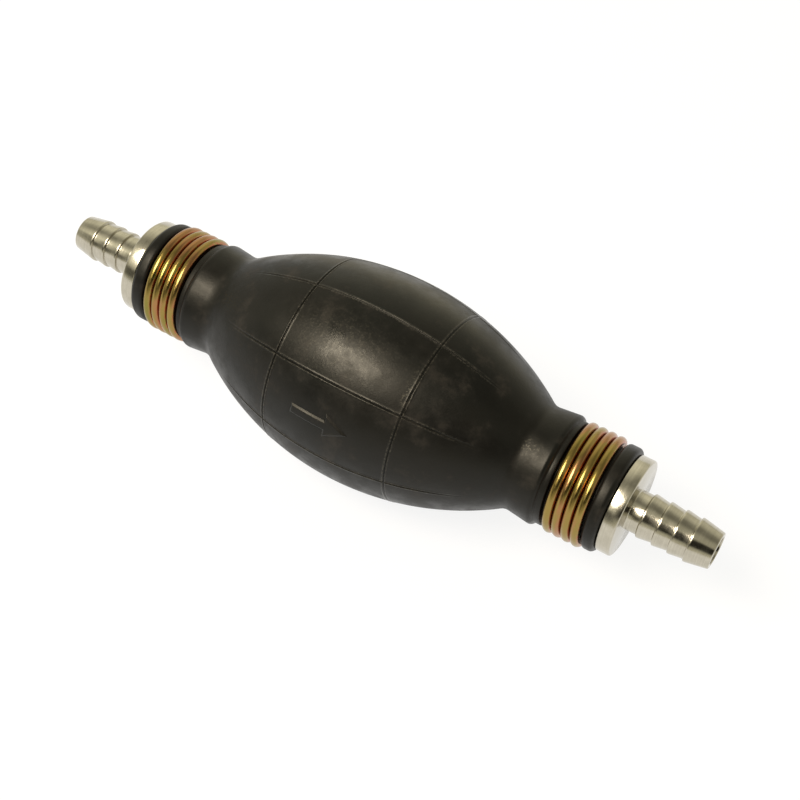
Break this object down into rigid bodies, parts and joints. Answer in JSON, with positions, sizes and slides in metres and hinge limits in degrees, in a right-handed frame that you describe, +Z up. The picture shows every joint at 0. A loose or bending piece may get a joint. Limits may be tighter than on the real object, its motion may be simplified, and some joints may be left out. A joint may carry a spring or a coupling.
{
  "type": "siphon bulb pump",
  "caption": "Hand-squeezed rubber bulb pump with a barbed hose nozzle and a check valve at each end, held by coiled wire clamps.",
  "frame": {"origin": "on the flow axis, halfway between the two nozzle tips", "axes": "+X along the flow, from the inlet nozzle to the outlet nozzle; +Z up, through one of the moulded grooves; the raised arrow is on the front, -Y side"},
  "size_m": [0.1632, 0.048, 0.048],
  "materials": {
    "bulb_rubber": "satin black rubber, worn shiny on the grip panels",
    "fitting_metal": "turned, bright satin",
    "clamp_wire": "yellow zinc plating with pink and green tints, glossy",
    "seal_rubber": "matte black rubber",
    "valve_steel": "polished steel",
    "valve_brass": "turned brass"
  },
  "bodies": {
    "pump_body": {"bulb": "bulb_rubber", "inlet_fitting": "fitting_metal", "inlet_clamp": "clamp_wire", "inlet_seat_washer": "seal_rubber", "inlet_valve_spring": "valve_steel", "inlet_spring_retainer": "valve_brass", "inlet_retaining_ring": "valve_steel", "outlet_fitting": "fitting_metal", "outlet_clamp": "clamp_wire", "outlet_seat_ring": "valve_brass", "outlet_seat_washer": "seal_rubber", "outlet_valve_spring": "valve_steel", "outlet_retaining_ring": "valve_steel"},
    "front_wall": {"front_squeeze_wall": "bulb_rubber"},
    "back_wall": {"back_squeeze_wall": "bulb_rubber"},
    "inlet_ball": {"inlet_valve_ball": "valve_steel"},
    "outlet_ball": {"outlet_valve_ball": "valve_steel"}
  },
  "joints": [
    {"name": "front_squeeze", "type": "slide", "parent": "pump_body", "child": "front_wall", "axis": [0, 1, 0], "range_m": [0, 0.012], "stiffness_N_per_m": 600},
    {"name": "back_squeeze", "type": "slide", "parent": "pump_body", "child": "back_wall", "axis": [0, -1, 0], "range_m": [0, 0.012], "stiffness_N_per_m": 600},
    {"name": "inlet_ball_lift", "type": "slide", "parent": "pump_body", "child": "inlet_ball", "axis": [1, 0, 0], "range_m": [0, 0.0024], "stiffness_N_per_m": 60, "springref_m": -0.002, "deforming": ["inlet_valve_spring"]},
    {"name": "outlet_ball_lift", "type": "slide", "parent": "pump_body", "child": "outlet_ball", "axis": [1, 0, 0], "range_m": [0, 0.0024], "stiffness_N_per_m": 60, "springref_m": -0.002, "deforming": ["outlet_valve_spring"]}
  ],
  "couplings": [
    {"joint": "back_squeeze", "follows": "front_squeeze", "ratio": 1}
  ]
}
